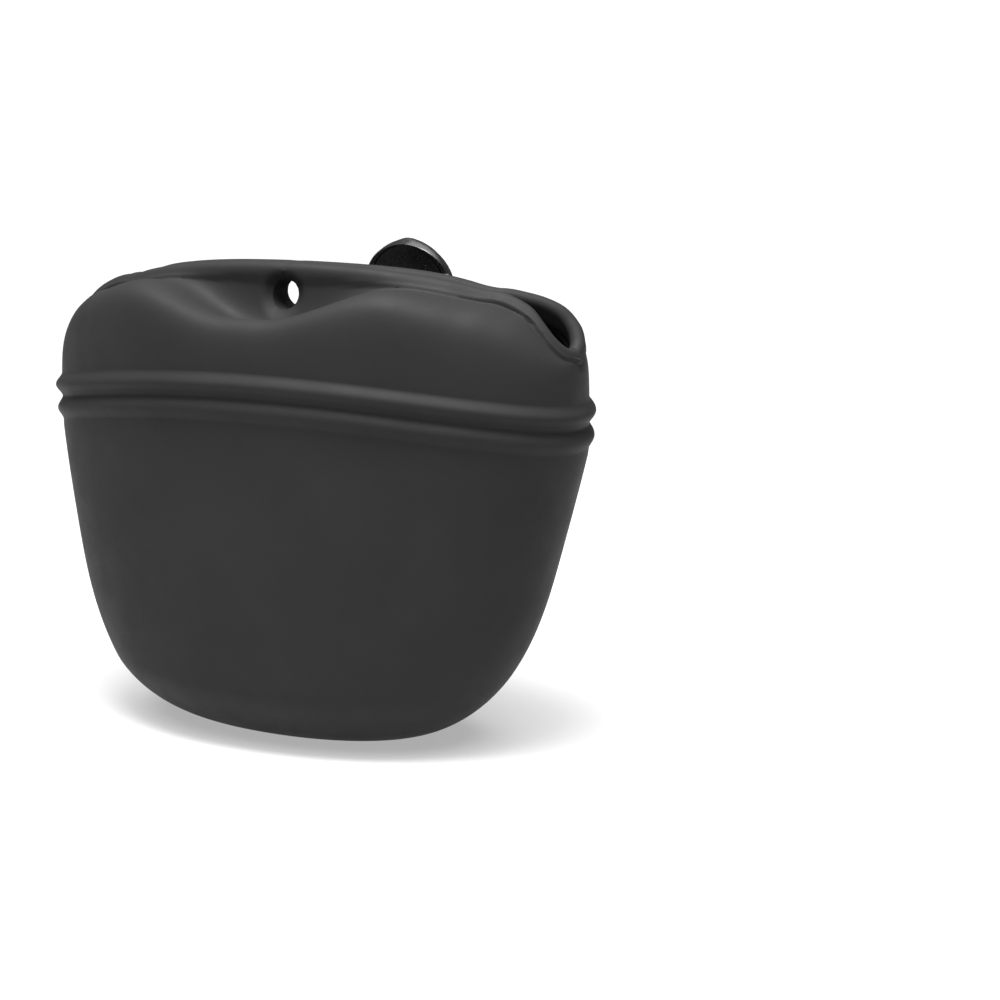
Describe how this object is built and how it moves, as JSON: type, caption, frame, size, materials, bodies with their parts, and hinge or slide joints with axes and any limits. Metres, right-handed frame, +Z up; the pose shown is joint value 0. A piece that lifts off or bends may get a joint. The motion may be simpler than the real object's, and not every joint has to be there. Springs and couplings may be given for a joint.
{
  "type": "belt-worn treat pouch",
  "caption": "Soft silicone training pouch with a magnetic pinch mouth, twin ribs, a hanging hole and a spring belt clip at the rear.",
  "frame": {"origin": "on the surface the pouch stands on, straight below the middle of the rib band; the flat base lies around it, mostly on the front side", "axes": "+Z up through the mouth, -Y is the front wall, +Y is the clip side, X runs along the length of the mouth"},
  "size_m": [0.1222, 0.0721, 0.0975],
  "materials": {
    "silicone": "matte charcoal silicone",
    "clip_plastic": "satin black moulded plastic",
    "steel": "bright plated steel",
    "magnet": "nickel plated"
  },
  "bodies": {
    "pouch": {"cup_body": "silicone", "clip_back_plate": "clip_plastic", "clip_hinge_pin": "steel", "clip_spring": "steel", "magnet_rear_left": "magnet", "magnet_rear_right": "magnet"},
    "front_flap": {"front_lip": "silicone", "magnet_front_left": "magnet", "magnet_front_right": "magnet"},
    "lever": {"clip_lever": "clip_plastic"}
  },
  "joints": [
    {"name": "front_lip_flex", "type": "hinge", "parent": "pouch", "child": "front_flap", "pos_m": [0, -0.0305, 0.0772], "axis": [1, 0, 0], "range_deg": [0, 35], "stiffness_Nm_per_rad": 0.02, "springref_deg": -11.46},
    {"name": "clip_lever_pivot", "type": "hinge", "parent": "pouch", "child": "lever", "pos_m": [0, 0.0355, 0.082], "axis": [1, 0, 0], "range_deg": [0, 25], "stiffness_Nm_per_rad": 0.15, "springref_deg": -34.38, "deforming": ["clip_spring"]}
  ]
}
